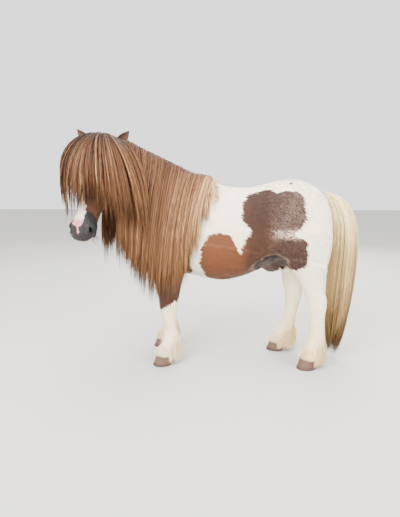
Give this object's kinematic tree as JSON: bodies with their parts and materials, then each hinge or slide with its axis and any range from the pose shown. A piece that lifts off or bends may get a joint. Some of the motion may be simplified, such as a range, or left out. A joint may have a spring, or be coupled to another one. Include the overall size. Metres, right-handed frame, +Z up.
{
  "type": "shetland pony",
  "caption": "Small shaggy shetland pony standing square with its head turned to one side, a long mane, forelock and tail, a patched coat and feathered feet.",
  "frame": {"origin": "on the floor, under the middle of the whole pony's outline", "axes": "+Z up, the pony faces -X, its left side faces -Y"},
  "size_m": [1.2085, 0.5464, 0.9852],
  "materials": {
    "white_coat": "dense short white winter coat with chestnut patches",
    "chestnut_coat": "short chestnut coat on the head, neck and ears",
    "mane_hair": "long straight chestnut hair with golden streaks and tips",
    "tail_hair": "long straight cream and flaxen hair",
    "hoof_horn": "smooth pinkish brown horn",
    "eye": "wet dark brown"
  },
  "bodies": {
    "root": {"torso": "white_coat", "neck": "chestnut_coat", "head": "chestnut_coat", "ear_left": "chestnut_coat", "ear_right": "chestnut_coat", "eye_left": "eye", "eye_right": "eye", "forelock": "mane_hair", "mane_left": "mane_hair", "mane_right": "mane_hair", "tail": "tail_hair", "leg_front_left": "white_coat", "leg_front_right": "white_coat", "leg_hind_left": "white_coat", "leg_hind_right": "white_coat", "hoof_front_left": "hoof_horn", "hoof_front_right": "hoof_horn", "hoof_hind_left": "hoof_horn", "hoof_hind_right": "hoof_horn"}
  },
  "joints": []
}
